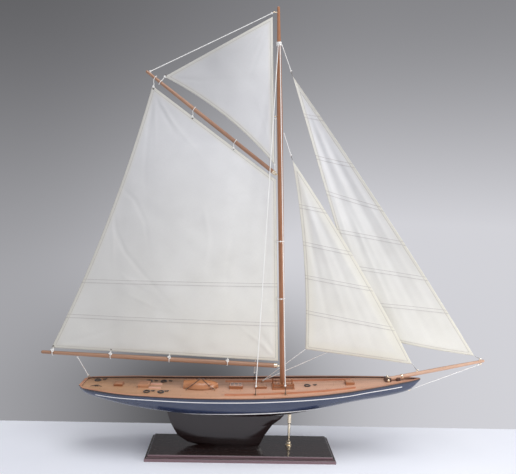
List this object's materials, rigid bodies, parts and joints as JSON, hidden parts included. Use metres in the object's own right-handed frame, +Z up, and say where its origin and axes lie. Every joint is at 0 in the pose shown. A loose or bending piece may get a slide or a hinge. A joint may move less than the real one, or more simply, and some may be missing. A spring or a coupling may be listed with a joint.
{
  "type": "model sailing ship",
  "caption": "Gaff-rigged cutter display model: painted hull with a fin keel on a wooden stand, laid deck with fittings, raked mast, swinging boom, gaff and cloth headsails.",
  "frame": {"origin": "centre of the base board, on its underside", "axes": "+X towards the bow, +Y to port, +Z up"},
  "size_m": [0.6085, 0.093, 0.6023],
  "materials": {
    "mahogany": "dark reddish-brown gloss lacquer",
    "brass": "polished",
    "steel": "dull wire and screws",
    "bottom_paint": "dark brown gloss paint",
    "navy_paint": "navy gloss paint with white lines",
    "raw_wood": "unfinished",
    "deck_wood": "satin varnish over planks",
    "varnished_wood": "satin orange-brown varnish",
    "dark_wood": "dark stain",
    "dark_metal": "dark patina",
    "dark_cord": "thin dark cord",
    "white_thread": "waxed white thread",
    "sailcloth": "off-white cotton"
  },
  "bodies": {
    "hull": {"aft_hatch": "varnished_wood", "base_board": "mahogany", "bobstay": "white_thread", "bowsprit": "varnished_wood", "bowsprit_band": "brass", "bowsprit_chock": "dark_wood", "bowsprit_eyes": "brass", "cap_rail_port": "varnished_wood", "cap_rail_starboard": "varnished_wood", "cleats": "dark_metal", "companion_hatch": "varnished_wood", "companion_slides": "varnished_wood", "deck_eyes": "brass", "deck_panel": "deck_wood", "deck_strip_port": "varnished_wood", "deck_strip_starboard": "varnished_wood", "dinghy": "varnished_wood", "dinghy_lashing": "dark_cord", "fife_rail": "varnished_wood", "fore_hatch": "varnished_wood", "heel_block": "dark_wood", "hounds_lashing": "white_thread", "hull_bottom": "bottom_paint", "hull_bulkheads": "raw_wood", "hull_topsides": "navy_paint", "jib_sheet": "white_thread", "keel_fin": "bottom_paint", "mainsheet": "white_thread", "mast": "varnished_wood", "mast_eyes": "brass", "mast_step": "raw_wood", "mid_hatch": "varnished_wood", "rope_coils": "dark_cord", "shroud_hooks": "steel", "shrouds": "white_thread", "skylight": "varnished_wood", "stand_screws": "steel", "staysail_sheet": "white_thread", "stem_eye": "brass", "support_post": "brass", "taffrail": "varnished_wood"},
    "boom_and_mainsail": {"boom": "varnished_wood", "boom_fork": "brass", "mainsail": "sailcloth", "foot_ties": "white_thread", "luff_hoops": "white_thread"},
    "gaff_and_topsail": {"gaff": "varnished_wood", "gaff_fork": "brass", "topsail": "sailcloth", "topsail_lashing": "white_thread", "peak_halyard": "white_thread", "throat_halyard": "white_thread", "head_ties": "white_thread"},
    "jib_sail": {"jib": "sailcloth", "jib_hooks": "steel", "jib_halyard": "white_thread"},
    "staysail_sail": {"staysail": "sailcloth", "staysail_hooks": "steel", "staysail_halyard": "white_thread"}
  },
  "joints": [
    {"name": "boom_swing", "type": "hinge", "parent": "hull", "child": "boom_and_mainsail", "pos_m": [0.04778, 0, 0.1199], "axis": [0.048, 0, -0.9988], "range_deg": [0, 8], "deforming": ["mainsheet", "luff_hoops"]},
    {"name": "gaff_twist", "type": "hinge", "parent": "boom_and_mainsail", "child": "gaff_and_topsail", "pos_m": [0.03524, 0, 0.381], "axis": [0.048, 0, -0.9988], "range_deg": [-4, 5], "deforming": ["head_ties"]},
    {"name": "jib_swing", "type": "hinge", "parent": "hull", "child": "jib_sail", "pos_m": [0.32947, 0, 0.13496], "axis": [0.5739, 0, -0.8189], "range_deg": [0, 7], "deforming": ["jib_sheet"]},
    {"name": "staysail_swing", "type": "hinge", "parent": "hull", "child": "staysail_sail", "pos_m": [0.24144, 0, 0.11694], "axis": [0.5262, 0, -0.8504], "range_deg": [0, 7], "deforming": ["staysail_sheet"]}
  ]
}
